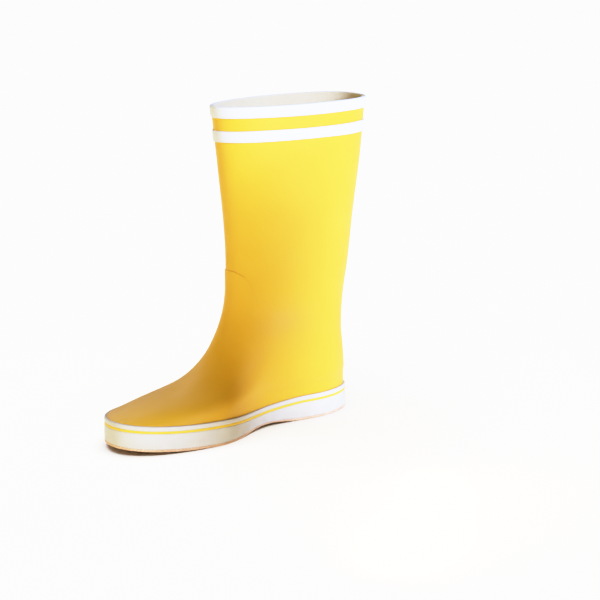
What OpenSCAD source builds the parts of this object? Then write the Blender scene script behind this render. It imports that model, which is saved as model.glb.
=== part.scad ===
// Rubber rain boot for the right foot: hand-laid rubber sheet over a knitted lining, with two
// white bands at the collar and a striped foxing round a crepe-patterned sole.
// +X points to the toe, +Y to the inner side of the foot and +Z up. The origin is on the
// ground, under the middle of the boot's outline.
//
// The skin of the boot is a lattice of points: rows climb from the sole to the collar and
// columns run round the boot. Every sheet of rubber or cloth lies at a depth under that skin,
// so neighbouring layers share their surfaces. The pieces of the sole are flat outlines cut to
// a side profile.

/* [Boot] */
// Length of the sole over the foxing
boot_len = 281; // [255:1:300]
// Width across the ball of the foot, over the foxing
ball_w = 109; // [98:1:118]
// Height of the collar above the ground
boot_h = 320; // [290:1:340]

/* [Rubber and lining] */
// Thickness of the rubber sheet of the leg and vamp
rubber_t = 1.8; // [1.5:0.1:2.2]
// Thickness of the toe, heel and ankle reinforcements
stiffener_t = 1; // [0.6:0.1:1.2]
// Thickness of the knitted lining
lining_t = 1.2; // [0.8:0.1:1.4]
// How far the upper edge of the vamp stands proud of the leg
vamp_step = 0.7; // [0.3:0.1:1]
// Thickness of the strip over the back seam
back_strip_t = 0.7; // [0.4:0.1:1]

/* [Collar] */
// Height of the white band at the rim
collar_band_h = 11; // [8:0.5:14]
// Height of the yellow strip between the two white bands
collar_gap = 12.5; // [10:0.5:15]
// Height of the lower white band
collar_stripe_h = 11; // [8:0.5:14]
// Thickness of the white bands
band_t = 0.9; // [0.5:0.1:1.4]

/* [Badge] */
// Width of the plate on the outer side
badge_w = 44; // [30:1:50]
// Height of the plate
badge_h = 20.5; // [15:0.5:25]
// Thickness of the plate
badge_t = 1.4; // [0.8:0.1:2]

/* [Sole] */
// Thickness of the foxing round the sole
foxing_t = 2; // [1.5:0.1:2.5]
// Height of the outsole's edge that shows under the foxing
sole_edge_h = 2.5; // [2:0.5:3.5]
// Height of the yellow line on the foxing
foxing_line_h = 2.2; // [1.5:0.1:3]
// Height of the narrow strip along the top of the foxing
foxing_trim_h = 4.5; // [3:0.5:6]
// How far the foxing dips at the waist
foxing_dip = 4; // [0:0.5:5]
// Thickness of the outsole
outsole_t = 5; // [4.5:0.5:6]
// Thickness of the filler on the outsole
filler_t = 3; // [2:0.5:3]
// Rise of the heel wedge
heel_raise = 8; // [4:0.5:8]
// Rise of the toe above the ground
toe_spring = 5.5; // [3:0.5:8]
// Rise of the sole's underside in the arch
arch_rise = 3; // [1:0.5:3.5]
// Distance from one tread groove to the next
groove_pitch = 8; // [6:0.5:12]
// Depth of the tread grooves
groove_depth = 1.5; // [1:0.1:1.8]

/* [Insole] */
// Thickness of the insole board
board_t = 2; // [1.5:0.1:2]
// Thickness of the loose footbed
footbed_t = 4; // [3:0.5:5]
// Clearance under the footbed
footbed_gap = 0.5; // [0.4:0.1:1]

/* [Hidden] */

YELLOW = [0.97, 0.81, 0.25];
WHITE = [0.95, 0.95, 0.93];
CREAM = [0.92, 0.87, 0.78];
TAN = [0.85, 0.63, 0.43];
BLACK = [0.08, 0.08, 0.09];
GREY = [0.55, 0.56, 0.58];
BROWN = [0.62, 0.48, 0.36];

// Cross-sections of the skin, from the top of the foxing to the collar. Each one gives its
// height, back, front, inner half width, outer half width, sideways shift of the middle, the
// place of the greatest width as a share of the length, and the roundness of front and back.
SECTIONS = [
    [25, 5, 282, 51.5, 53.5, -1, 0.61, 2.12, 2.8],
    [34, 6, 254, 50, 50, 0.5, 0.61, 2.1, 2.7],
    [47, 7, 205, 48, 45.5, 2.5, 0.61, 2.1, 2.6],
    [64, 8.5, 177, 43.5, 40, 3, 0.6, 2.1, 2.5],
    [88, 8.5, 159, 36, 34, 2.5, 0.55, 2, 2.25],
    [118, 4, 147, 29, 29.5, 1.5, 0.48, 2, 2.1],
    [155, -2.5, 143, 29.5, 29, 0.5, 0.465, 2, 2.15],
    [205, -9, 143.5, 31, 31.5, -1, 0.46, 2, 2.3],
    [260, -16.5, 148.5, 33, 34.5, -2.5, 0.45, 2, 2.5],
    [320, -24, 154, 34, 38.5, -4.5, 0.445, 2, 2.6],
];
BACK = 1;
FRONT = 2;
INNER = 3;
OUTER = 4;
SHIFT = 5;
WIDEST = 6;
NOSE = 7;
HEEL = 8;

// The table above is for this length, width and height.
TABLE_LEN = 277;
TABLE_W = 105;
WELT = 25;
KX = (boot_len - 2 * foxing_t) / TABLE_LEN;
KY = (ball_w - 2 * foxing_t) / TABLE_W;
KZ = (boot_h - WELT) / (SECTIONS[9][0] - WELT);
SCALE = [KX, KX, KY, KY, KY, 1, 1, 1];
STATIONS = [for (s = SECTIONS) concat(
    [WELT + (s[0] - WELT) * KZ],
    [for (i = [BACK:HEEL]) s[i] * SCALE[i - 1]])];

// The foot's own length, which places the waist, ball and toe.
FOOT = 275 * KX;
WAIST_X = 0.4;
BALL_X = 0.68;
HEEL_X = 0.1;
HEEL_NARROW = 0.81;
WAIST_INNER = 0.57;
WAIST_OUTER = 0.84;
WAIST_REACH = 85;
SWING_X = 0.45;
TOE_SWING = 6;
SPRING_X = 0.62;
ARCH_X = 0.43;
ARCH_REACH = 0.17;
DIP_X = 0.47;
DIP_REACH = 0.22;
COLLAR_TILT = 0.01;
TILT_FROM = 150;
TILT_X = 60 * KX;

COLS = 48;
HALF = COLS / 2;
WALL_TOP = 21;
WELT_ROW = 2;
VAMP_ROWS = 11;
SEAM_ROW = WELT_ROW + VAMP_ROWS;
SEAM_COL = 16;
LEG_STEPS = [0, 0.06, 0.13, 0.21, 0.3, 0.4, 0.52, 0.66, 0.82, 1];
CUFF_ROW = SEAM_ROW + len(LEG_STEPS) - 1;
CUFF_DROP = 13.5;
STRIPE_LOW = boot_h - collar_band_h - collar_gap - collar_stripe_h;
COLLAR = [STRIPE_LOW, STRIPE_LOW + collar_stripe_h, boot_h - collar_band_h, boot_h];
STRIPE_ROW = CUFF_ROW + 1;
BAND_ROW = CUFF_ROW + 3;
ROWS = BAND_ROW + 2;

// Height of the seam between vamp and leg, by the angle from the toe
SEAM = [[0, 159], [15, 158.5], [28, 154.5], [35, 148.5], [39, 142], [43, 131], [50, 110],
    [60, 88], [75, 67], [95, 52], [105, 47], [120, 50], [135, 64], [150, 78], [180, 85]];

// Each reinforcement lies under these rows and columns: first row, last row, first column and
// last column on each side.
TOE_PATCH = [1, 6, -1, 8];
HEEL_PATCH = [1, 10, 15, HALF + 1];
ANKLE_PATCH = [SEAM_ROW + 2, SEAM_ROW + 5, 9, 15];
SKIVED_T = 0.25;

GLUE = 0.05;
STRIP_COLS = 1;
LINE_LOW = WELT - foxing_trim_h - foxing_line_h;
LINE_HIGH = WELT - foxing_trim_h;
EDGE_RISE = 0.6;
FILLER_TOP = outsole_t + filler_t;
WEDGE_X = 0.4;
SHANK = [55 * KX, 150 * KX];
SHANK_Y = -8;
SHANK_W = 16;
SHANK_T = 1.2;
FOOTBED_INSET = 7.5;
GROOVE_W = 2;
GROOVE_FROM = 14;
ZIGZAG_STEP = 9;
ZIGZAG_REACH = 2.2;
BADGE_DROP = 2;
BADGE_ANGLE = 263;
BADGE_COLS = 8;
BADGE_ROWS = 4;
BADGE_GAP = 0.1;
PROBE = 0.5;

function mix(a, b, t) = a + (b - a) * t;
function smooth(t) = let (u = min(max(t, 0), 1)) u * u * (3 - 2 * u);

// ---- the skin ----

function span(z, i = 0) =
    i >= len(STATIONS) - 2 || z < STATIONS[i + 1][0] ? i : span(z, i + 1);
function slope(i) =
    let (low = STATIONS[max(i - 1, 0)], high = STATIONS[min(i + 1, len(STATIONS) - 1)])
    (high - low) / (high[0] - low[0]);
// The cross-section at a height, on a smooth curve through the stations
function section(z) =
    let (i = span(z), low = STATIONS[i], high = STATIONS[i + 1], h = high[0] - low[0],
         t = (z - low[0]) / h, s = smooth(t))
    mix(low, high, s) + t * (1 - t) * h * ((1 - t) * slope(i) - t * slope(i + 1));

// How much narrower than the ball the outline is, at a share u of the foot's length
function narrowing(u, waist) =
    u < WAIST_X ? mix(HEEL_NARROW, waist, smooth((u - HEEL_X) / (WAIST_X - HEEL_X)))
                : mix(waist, 1, smooth((u - WAIST_X) / (BALL_X - WAIST_X)));
// Rise of the whole shape above the ground towards the toe
function lift(x) = toe_spring * pow(max(x / FOOT - SPRING_X, 0) / (1 - SPRING_X), 2);
// A smooth bump along the foot, 1 in its middle and 0 beyond its reach
function bump(x, middle, reach) = pow(max(1 - pow((x / FOOT - middle) / reach, 2), 0), 2);
// Rise of the underside in the arch
function arch(x) = arch_rise * bump(x, ARCH_X, ARCH_REACH);

// A point of the skin, at a height and an angle round from the toe
function skin(z, a) =
    let (
        s = section(max(z, WELT)),
        fore = cos(a) > 0,
        power = 2 / s[fore ? NOSE : HEEL],
        wide = mix(s[BACK], s[FRONT], s[WIDEST]),
        reach = fore ? s[FRONT] - wide : wide - s[BACK],
        x = wide + sign(cos(a)) * pow(abs(cos(a)), power) * reach,
        half = sin(a) > 0 ? s[INNER] : s[OUTER],
        waist = sin(a) > 0 ? WAIST_INNER : WAIST_OUTER,
        low = 1 - smooth((z - WELT) / WAIST_REACH),
        y = sign(sin(a)) * pow(abs(sin(a)), power) * half
            * mix(1, narrowing(x / FOOT, waist), low),
        swing = low * TOE_SWING * pow(max(x / FOOT - SWING_X, 0) / (1 - SWING_X), 2),
        tilt = COLLAR_TILT * min(max((z - TILT_FROM) / (boot_h - TILT_FROM), 0), 1)
    )
    [x, y + s[SHIFT] + swing, z + lift(x) + tilt * (x - TILT_X)];

// ---- the lattice ----

function angle(c) = 360 * c / COLS;
function turn(c) = (c + COLS) % COLS;
// Columns away from the toe's middle line, for a column and for the cell after it
function side(c) = min(turn(c), COLS - turn(c));
function cell_side(c) = min(turn(c) + 0.5, COLS - turn(c) - 0.5);

function row_height(r, a) =
    let (
        round_a = min(a, 360 - a),
        seam = WELT + (lookup(round_a, SEAM) - WELT) * KZ,
        crowding = mix(2, 1.1, smooth(round_a / 90))
    )
    r == 0 ? outsole_t
    : r == 1 ? WALL_TOP
    : r <= SEAM_ROW ? mix(WELT, seam, pow((r - WELT_ROW) / VAMP_ROWS, crowding))
    : r <= CUFF_ROW ? mix(seam, STRIPE_LOW - CUFF_DROP, LEG_STEPS[r - SEAM_ROW])
    : COLLAR[r - STRIPE_ROW];

GRID = [for (r = [0:ROWS - 1]) [for (c = [0:COLS - 1]) skin(row_height(r, angle(c)), angle(c))]];
NORMALS = [for (r = [0:ROWS - 1]) [for (c = [0:COLS - 1])
    let (
        upright = r <= 1 || r >= CUFF_ROW,
        along = GRID[r][turn(c + 1)] - GRID[r][turn(c - 1)],
        up = upright ? [0, 0, 1] : GRID[r + 1][c] - GRID[r - 1][c],
        n = cross(along, up)
    ) n / norm(n)]];

// A lattice point at a depth under the skin
function at(r, c, depth) = GRID[r][turn(c)] - depth * NORMALS[r][turn(c)];
function layer(depth) = [for (r = [0:ROWS - 1]) [for (c = [0:COLS - 1]) at(r, c, depth(r, c))]];

function patch_t(patch, r, c) =
    let (s = side(c))
    r < patch[0] || r > patch[1] || s < patch[2] || s > patch[3] ? 0
    : r == patch[0] || r == patch[1] || s == patch[2] || s == patch[3] ? SKIVED_T
    : stiffener_t;
function in_patch(patch, r, c) =
    r >= patch[0] && r < patch[1] && cell_side(c) > patch[2] && cell_side(c) < patch[3];
function backing_t(r, c) =
    max([for (patch = [TOE_PATCH, HEEL_PATCH, ANKLE_PATCH]) patch_t(patch, r, c)]);

SKIN = layer(function(r, c) 0);
UNDER_RUBBER = layer(function(r, c) rubber_t);
UNDER_BACKING = layer(function(r, c) rubber_t + backing_t(r, c));
UNDER_LINING = layer(function(r, c) rubber_t + backing_t(r, c) + lining_t);
VAMP_FACE = layer(function(r, c)
    -vamp_step * smooth((r - SEAM_ROW + 3) / 3) * (1 - smooth((side(c) - 4) / 3)));

function in_vamp(r, c) = r < SEAM_ROW && cell_side(c) < SEAM_COL;

// ---- heights in the sole ----

function rim(depth) = [for (c = [0:COLS - 1]) let (p = at(0, c, depth)) [p[0], p[1]]];
OUTLINE = rim(0);
OUTER_OUTLINE = rim(-foxing_t);
PROFILE_X = concat([OUTLINE[0][0] + 5], [for (c = [0:HALF]) OUTLINE[c][0]], [OUTLINE[HALF][0] - 5]);

function sole_low(x) = lift(x) + arch(x);
function edge_top(x) = lift(x) + sole_edge_h + EDGE_RISE * arch(x);
// A level of the foxing, given by its height where the foxing is full
function foxing_level(x, z) = lift(x) + z - foxing_dip * bump(x, DIP_X, DIP_REACH);
function wedge_top(x) = lift(x) + FILLER_TOP + heel_raise * (1 - smooth(x / FOOT / WEDGE_X));
function board_top(x) = wedge_top(x) + board_t;
function footbed_low(x) = board_top(x) + GLUE + lining_t + footbed_gap;

// The origin stands under the middle of the whole outline.
LOW_Y = min([for (p = OUTER_OUTLINE) p[1]]);
HIGH_Y = max([for (p = OUTER_OUTLINE) p[1]]);
LOW_X = at(ROWS - 1, HALF, -band_t)[0];
HIGH_X = OUTER_OUTLINE[0][0];
ORIGIN = [(LOW_X + HIGH_X) / 2, (LOW_Y + HIGH_Y) / 2, 0];

// ---- builders ----

// A closed sheet between two grids of points, over the cells that has(row, column) picks.
// With closed_foot, the lowest row is closed by a floor instead of an edge.
module sheet(outer, inner, has, closed_foot = false) {
    rows = len(outer);
    cols = len(outer[0]);
    count = rows * cols;
    function over(c) = (c + cols) % cols;
    function cell(r, c) = r >= 0 && r < rows - 1 && has(r, over(c));
    function out(r, c) = r * cols + over(c);
    function in(r, c) = count + out(r, c);
    faces = [for (r = [0:rows - 2]) for (c = [0:cols - 1]) if (cell(r, c))
        each concat(
            [[out(r, c), out(r + 1, c), out(r + 1, c + 1)],
             [out(r, c), out(r + 1, c + 1), out(r, c + 1)],
             [in(r, c), in(r + 1, c + 1), in(r + 1, c)],
             [in(r, c), in(r, c + 1), in(r + 1, c + 1)]],
            cell(r - 1, c) || (closed_foot && r == 0) ? [] :
            [[out(r, c), out(r, c + 1), in(r, c + 1)],
             [out(r, c), in(r, c + 1), in(r, c)]],
            cell(r + 1, c) ? [] :
            [[out(r + 1, c), in(r + 1, c), in(r + 1, c + 1)],
             [out(r + 1, c), in(r + 1, c + 1), out(r + 1, c + 1)]],
            cell(r, c + 1) ? [] :
            [[out(r, c + 1), out(r + 1, c + 1), in(r + 1, c + 1)],
             [out(r, c + 1), in(r + 1, c + 1), in(r, c + 1)]],
            cell(r, c - 1) ? [] :
            [[out(r, c), in(r, c), in(r + 1, c)],
             [out(r, c), in(r + 1, c), out(r + 1, c)]])];
    floors = !closed_foot ? [] : [for (c = [0:cols / 2 - 1]) each concat(
        [[out(0, c), out(0, c + 1), out(0, -c - 1)],
         [in(0, c), in(0, -c - 1), in(0, c + 1)]],
        c == 0 ? [] :
        [[out(0, c), out(0, -c - 1), out(0, -c)],
         [in(0, c), in(0, -c), in(0, -c - 1)]])];
    proper = [for (f = concat(faces, floors)) if (f[0] != f[1] && f[1] != f[2] && f[0] != f[2]) f];
    polyhedron(
        points = concat([for (row = outer) each row], [for (row = inner) each row]),
        faces = proper);
}

// A strip round the sole's wall, between two heights that follow the sole
module hoop(low, high) {
    function ring(depth, level) =
        [for (c = [0:COLS - 1]) let (p = at(0, c, depth)) [p[0], p[1], level(p[0])]];
    sheet([ring(-foxing_t, low), ring(-foxing_t, high)], [ring(0, low), ring(0, high)],
        function(r, c) true);
}

// A piece of the sole: a flat outline cut to a side profile
module slab(outline, low, high) {
    intersection() {
        linear_extrude(height = WELT + toe_spring + footbed_t)
            polygon(outline);
        rotate([90, 0, 0])
            linear_extrude(height = 2 * ball_w, center = true)
                polygon(concat(
                    [for (x = PROFILE_X) [x, low(x)]],
                    [for (i = [len(PROFILE_X) - 1:-1:0]) [PROFILE_X[i], high(PROFILE_X[i])]]));
    }
}

// Moves a piece from the heel's frame to the boot's own
module placed() {
    translate(-ORIGIN)
        children();
}

// ---- the upper ----

module leg() {
    color(YELLOW)
        placed()
            sheet(SKIN, UNDER_RUBBER, function(r, c) !in_vamp(r, c));
}

module vamp() {
    color(YELLOW)
        placed()
            sheet(VAMP_FACE, UNDER_RUBBER, function(r, c) in_vamp(r, c));
}

module back_strip() {
    color(YELLOW)
        placed()
            sheet(layer(function(r, c) -back_strip_t), SKIN, function(r, c)
                r >= WELT_ROW && r < STRIPE_ROW && cell_side(c) > HALF - STRIP_COLS);
}

module band(row) {
    sheet(layer(function(r, c) -band_t), SKIN, function(r, c) r == row);
}

module collar_band() {
    color(WHITE)
        placed()
            band(BAND_ROW);
}

module collar_stripe() {
    color(WHITE)
        placed()
            band(STRIPE_ROW);
}

// A plain plate that follows the curve of the leg
module badge() {
    top = STRIPE_LOW - BADGE_DROP;
    s = section(top);
    sweep = badge_w / (PI * (s[FRONT] - s[BACK]) / 360);
    function spot(i, j, proud) =
        let (
            z = mix(top - badge_h, top, i / BADGE_ROWS),
            a = BADGE_ANGLE + sweep * (j / BADGE_COLS - 0.5),
            p = skin(z, a),
            n = cross(skin(z, a + PROBE) - skin(z, a - PROBE),
                      skin(z + PROBE, a) - skin(z - PROBE, a))
        )
        p + proud * n / norm(n);
    function face(proud) =
        [for (i = [0:BADGE_ROWS]) [for (j = [0:BADGE_COLS]) spot(i, j, proud)]];
    color(BLACK)
        placed()
            sheet(face(BADGE_GAP + badge_t), face(BADGE_GAP), function(r, c) c < BADGE_COLS);
}

// ---- inside the upper ----

module backing(patch) {
    sheet(UNDER_RUBBER, UNDER_BACKING, function(r, c) in_patch(patch, r, c));
}

module toe_stiffener() {
    color(GREY)
        placed()
            backing(TOE_PATCH);
}

module heel_counter() {
    color(GREY)
        placed()
            backing(HEEL_PATCH);
}

module ankle_patches() {
    color(GREY)
        placed()
            backing(ANKLE_PATCH);
}

// The sock of the foot, whose floor lies on the insole board
module foot_lining() {
    function floor_row(grid, rise) =
        concat([[for (c = [0:COLS - 1])
            let (p = grid[0][c]) [p[0], p[1], board_top(GRID[0][c][0]) + GLUE + rise]]],
            [for (r = [1:ROWS - 1]) grid[r]]);
    color(CREAM)
        placed()
            sheet(floor_row(UNDER_BACKING, 0), floor_row(UNDER_LINING, lining_t),
                function(r, c) r < SEAM_ROW, closed_foot = true);
}

module leg_lining() {
    color(CREAM)
        placed()
            sheet(UNDER_BACKING, UNDER_LINING, function(r, c) r >= SEAM_ROW);
}

// ---- the foxing ----

module foxing_band() {
    color(WHITE)
        placed()
            hoop(function(x) edge_top(x) + GLUE, function(x) foxing_level(x, LINE_LOW));
}

module foxing_line() {
    color(YELLOW)
        placed()
            hoop(function(x) foxing_level(x, LINE_LOW), function(x) foxing_level(x, LINE_HIGH));
}

module foxing_trim() {
    color(WHITE)
        placed()
            hoop(function(x) foxing_level(x, LINE_HIGH), function(x) foxing_level(x, WELT));
}

// ---- the sole ----

// One zigzag groove across the sole
module groove(x) {
    steps = ceil(ball_w / ZIGZAG_STEP / 2);
    function zig(j) = ZIGZAG_REACH * (j % 2 == 0 ? 1 : -1);
    translate([x, 0, -1])
        linear_extrude(height = 1 + sole_low(x) + groove_depth)
            polygon(concat(
                [for (j = [-steps:steps]) [zig(j), j * ZIGZAG_STEP]],
                [for (j = [steps:-1:-steps]) [zig(j) + GROOVE_W, j * ZIGZAG_STEP]]));
}

module outsole() {
    color(TAN)
        placed()
            difference() {
                union() {
                    slab(OUTER_OUTLINE, function(x) sole_low(x), function(x) edge_top(x));
                    slab(OUTLINE, function(x) sole_low(x), function(x) outsole_t - GLUE + lift(x));
                }
                for (x = [GROOVE_FROM:groove_pitch:boot_len - GROOVE_FROM]) groove(x);
            }
}

module shank_blank() {
    r = SHANK_W / 2;
    translate([0, SHANK_Y, FILLER_TOP - SHANK_T])
        linear_extrude(height = SHANK_T) {
            translate([SHANK[0], -r])
                square([SHANK[1] - SHANK[0], SHANK_W]);
            for (x = SHANK)
                translate([x, 0])
                    circle(r = r, $fn = 48);
        }
}

module shank() {
    color(GREY)
        placed()
            shank_blank();
}

module sole_filler() {
    color(BROWN)
        placed()
            difference() {
                slab(rim(rubber_t), function(x) outsole_t + lift(x),
                    function(x) FILLER_TOP + lift(x));
                shank_blank();
            }
}

module heel_wedge() {
    tip = WEDGE_X * FOOT;
    x_list = [for (i = [1:len(PROFILE_X) - 1]) if (PROFILE_X[i] < tip) PROFILE_X[i]];
    color(BROWN)
        placed()
            intersection() {
                linear_extrude(height = WELT)
                    polygon(rim(rubber_t));
                rotate([90, 0, 0])
                    linear_extrude(height = 2 * ball_w, center = true)
                        polygon(concat(
                            [[x_list[len(x_list) - 1], FILLER_TOP], [tip, FILLER_TOP]],
                            [for (x = x_list) [x, wedge_top(x)]]));
            }
}

module insole_board() {
    color(BROWN)
        placed()
            slab(rim(rubber_t), function(x) wedge_top(x), function(x) board_top(x));
}

module footbed() {
    color(CREAM)
        placed()
            slab(rim(FOOTBED_INSET), function(x) footbed_low(x),
                function(x) footbed_low(x) + footbed_t);
}

leg();
vamp();
back_strip();
collar_band();
collar_stripe();
badge();
foxing_band();
foxing_line();
foxing_trim();
outsole();
sole_filler();
shank();
heel_wedge();
insole_board();
foot_lining();
leg_lining();
toe_stiffener();
heel_counter();
ankle_patches();
footbed();
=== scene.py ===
"""A tall rubber rain boot for the right foot, seen from its inner side.

The CAD model is the frame. Every visible piece is made again here at a finer scale, from the
same cross-sections, with soft edges and its own material. Lengths are in millimetres measured
from the heel until a mesh is made, when they become metres in the CAD model's frame.
"""

import math

import bpy
import numpy as np
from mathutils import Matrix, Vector


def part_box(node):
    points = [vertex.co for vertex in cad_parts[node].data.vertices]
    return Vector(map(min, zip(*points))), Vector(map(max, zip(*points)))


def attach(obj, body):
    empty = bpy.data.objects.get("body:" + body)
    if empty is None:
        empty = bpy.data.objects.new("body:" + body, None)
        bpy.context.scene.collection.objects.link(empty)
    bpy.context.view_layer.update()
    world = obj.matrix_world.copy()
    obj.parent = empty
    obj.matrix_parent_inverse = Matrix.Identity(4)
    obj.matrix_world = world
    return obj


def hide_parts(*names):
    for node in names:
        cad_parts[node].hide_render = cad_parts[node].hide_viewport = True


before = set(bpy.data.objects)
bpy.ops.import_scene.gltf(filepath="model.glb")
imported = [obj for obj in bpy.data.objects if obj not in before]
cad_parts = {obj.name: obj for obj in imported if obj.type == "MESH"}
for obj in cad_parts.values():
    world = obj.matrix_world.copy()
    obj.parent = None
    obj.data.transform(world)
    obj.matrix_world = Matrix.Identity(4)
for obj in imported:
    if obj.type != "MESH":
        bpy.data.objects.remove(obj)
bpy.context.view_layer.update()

# ---------------------------------------------------------------- camera

CAMERA_AT = Vector((1.0729, 1.5493, 0.5909))
CAMERA_LOOKS = Vector((-0.5786, -0.7797, -0.2395))
CAMERA_LENS = 117.4

# Brightness in and out, where 1 is white paper
SHOULDER = ((0.4, 0.4), (0.7, 0.69), (0.92, 0.84), (1.25, 0.94), (1.7, 0.985), (2.4, 1.0))


def soften_whites(view):
    """A camera's shoulder: what is brighter than white paper fades into white, not clipped."""
    view.use_curve_mapping = True
    mapping = view.curve_mapping
    mapping.white_level = [SHOULDER[-1][0]] * 3
    curve = mapping.curves[3]
    for x, y in SHOULDER[:-1]:
        curve.points.new(x / SHOULDER[-1][0], y)
    mapping.update()


def add_camera():
    data = bpy.data.cameras.new("camera")
    data.lens = CAMERA_LENS
    data.sensor_width = 36
    data.clip_end = 100
    camera = bpy.data.objects.new("camera", data)
    camera.location = CAMERA_AT
    camera.rotation_euler = CAMERA_LOOKS.to_track_quat("-Z", "Y").to_euler()
    bpy.context.scene.collection.objects.link(camera)
    bpy.context.scene.camera = camera


# ---------------------------------------------------------------- shape of the boot

# Height, back, front, inner half width, outer half width, sideways shift, place of the widest
# point, and the roundness of the front and of the back.
STATIONS = np.array([
    [25, 5, 282, 51.5, 53.5, -1, 0.61, 2.12, 2.8],
    [34, 6, 254, 50, 50, 0.5, 0.61, 2.1, 2.7],
    [47, 7, 205, 48, 45.5, 2.5, 0.61, 2.1, 2.6],
    [64, 8.5, 177, 43.5, 40, 3, 0.6, 2.1, 2.5],
    [88, 8.5, 159, 36, 34, 2.5, 0.55, 2, 2.25],
    [118, 4, 147, 29, 29.5, 1.5, 0.48, 2, 2.1],
    [155, -2.5, 143, 29.5, 29, 0.5, 0.465, 2, 2.15],
    [205, -9, 143.5, 31, 31.5, -1, 0.46, 2, 2.3],
    [260, -16.5, 148.5, 33, 34.5, -2.5, 0.45, 2, 2.5],
    [320, -24, 154, 34, 38.5, -4.5, 0.445, 2, 2.6],
])
HEIGHTS = STATIONS[:, 0]
BELOW = STATIONS[np.maximum(np.arange(len(STATIONS)) - 1, 0)]
ABOVE = STATIONS[np.minimum(np.arange(len(STATIONS)) + 1, len(STATIONS) - 1)]
SLOPES = (ABOVE - BELOW) / (ABOVE - BELOW)[:, :1]

# Heights of the foxing's top and of the rim, the length of the foot, and the outsole's thickness
WELT = 25.0
TOP = 320.0
FOOT = 275.0
SOLE = 5.0

# Thicknesses of the rubber sheet, lining, stiffeners and collar bands, and of the foxing
RUBBER = 1.8
LINING = 1.2
BACKING = 1.0
BAND = 1.15
FOXING = 2.0
GLUE = 0.05

# Lower and upper edges of the two collar bands
STRIPE = (285.5, 296.5)
CUFF = (309.0, TOP)

# How far the toe rises, and from which share of the foot
TOE_SPRING = 5.5
SPRING_FROM = 0.62

# The arch under the sole and the dip of the foxing above it: depth, middle and reach, the last
# two as shares of the foot
ARCH = (3.0, 0.43, 0.17)
DIP = (4.0, 0.47, 0.22)
SOLE_EDGE = 2.5
EDGE_RISE = 0.6

# How far the collar leans, as a slope, and the length of the scarf where the sheets overlap
LEAN = 0.01
SCARF = 8.0

# Height of the edge where the vamp laps over the leg, by the angle from the toe
SEAM = ((0, 159), (15, 158.5), (28, 154.5), (35, 148.5), (39, 142), (43, 131), (50, 110),
        (60, 88), (75, 67), (95, 50), (105, 42), (113, 28), (119, 12), (124, 5), (180, 5))


def mix(a, b, t):
    return a + (b - a) * t


def smooth(t):
    """0 below 0 and 1 above 1, with an easy curve between."""
    u = np.clip(t, 0, 1)
    return u * u * (3 - 2 * u)


def section(z):
    """The table's values at height z, on a smooth curve through its rows."""
    z = np.maximum(z, WELT)
    i = np.clip(np.searchsorted(HEIGHTS, z, side="right") - 1, 0, len(STATIONS) - 2)
    low, high = STATIONS[i], STATIONS[i + 1]
    rise = (high - low)[..., :1]
    t = ((z[..., None] - low[..., :1]) / rise)
    bend = t * (1 - t) * rise * ((1 - t) * SLOPES[i] - t * SLOPES[i + 1])
    return low + (high - low) * smooth(t) + bend


def lift(x):
    """How far the toe's spring raises the sole."""
    return TOE_SPRING * np.maximum((x / FOOT - SPRING_FROM) / (1 - SPRING_FROM), 0) ** 2


def hump(x, rise, middle, reach):
    return rise * np.maximum(1 - ((x / FOOT - middle) / reach) ** 2, 0) ** 2


def skin(z, a):
    """Points of the boot's outer skin, at heights z and angles a round from the toe."""
    z, a = np.broadcast_arrays(np.asarray(z, float), np.asarray(a, float))
    s = section(z)
    back, front, inner, outer, shift, widest, nose, heel = np.moveaxis(s[..., 1:], -1, 0)
    c, n = np.cos(a), np.sin(a)
    power = 2 / np.where(c > 0, nose, heel)
    wide = mix(back, front, widest)
    x = wide + np.sign(c) * np.abs(c) ** power * np.where(c > 0, front - wide, wide - back)
    u = x / FOOT
    waist = np.where(n > 0, 0.57, 0.84)
    narrow = np.where(u < 0.4, mix(0.81, waist, smooth((u - 0.1) / 0.3)),
                      mix(waist, 1, smooth((u - 0.4) / 0.28)))
    low = 1 - smooth((z - WELT) / 85)
    half = np.where(n > 0, inner, outer) * mix(1, narrow, low)
    swing = low * 6 * np.maximum((u - 0.45) / 0.55, 0) ** 2
    tilt = LEAN * np.clip((z - 150) / (TOP - 150), 0, 1)
    y = np.sign(n) * np.abs(n) ** power * half + shift + swing
    return np.stack([x, y, z + lift(x) + tilt * (x - 60)], -1)


def unit(v):
    return v / np.linalg.norm(v, axis=-1, keepdims=True)


def normal(z, a):
    across = skin(z, a + 0.01) - skin(z, a - 0.01)
    up = skin(z + 2, a) - skin(z - 2, a)
    return unit(np.cross(across, up))


def ripple(z, a):
    """The slight unevenness of rubber laid up by hand."""
    free = smooth((z - 50) / 60) * (1 - 0.6 * smooth((z - 255) / 40))
    waves = (np.sin(2 * a + z / 31) + 0.7 * np.sin(3 * a - z / 19 + 1.3)
             + 0.5 * np.sin(5 * a + z / 47 + 0.6))
    return 0.13 * free * waves


def on_skin(z, a, proud):
    """Points at a distance outside the skin, or inside it where that is negative."""
    return skin(z, a) + (proud + ripple(z, a))[..., None] * normal(z, a)


def on_wall(z, a, proud):
    """Points round the sole's upright wall, at their own height above the ground."""
    flat = np.full_like(a, SOLE)
    n = np.cross(skin(flat, a + 0.01) - skin(flat, a - 0.01), [0, 0, 1])
    p = skin(flat, a) + proud[..., None] * unit(n)
    return np.concatenate([p[..., :2], z[..., None]], -1)


def even_angles(count, height, start=-math.pi, end=math.pi):
    """Angles that are evenly spaced along the outline at a height."""
    fine = np.linspace(start, end, 6001)
    p = skin(np.full_like(fine, height), fine)
    run = np.concatenate([[0], np.cumsum(np.linalg.norm(np.diff(p, axis=0), axis=1))])
    wrapped = end - start > 6.28
    shares = np.linspace(0, run[-1], count + 1)[:-1] if wrapped else np.linspace(0, run[-1], count)
    return np.interp(shares, run, fine)


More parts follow.
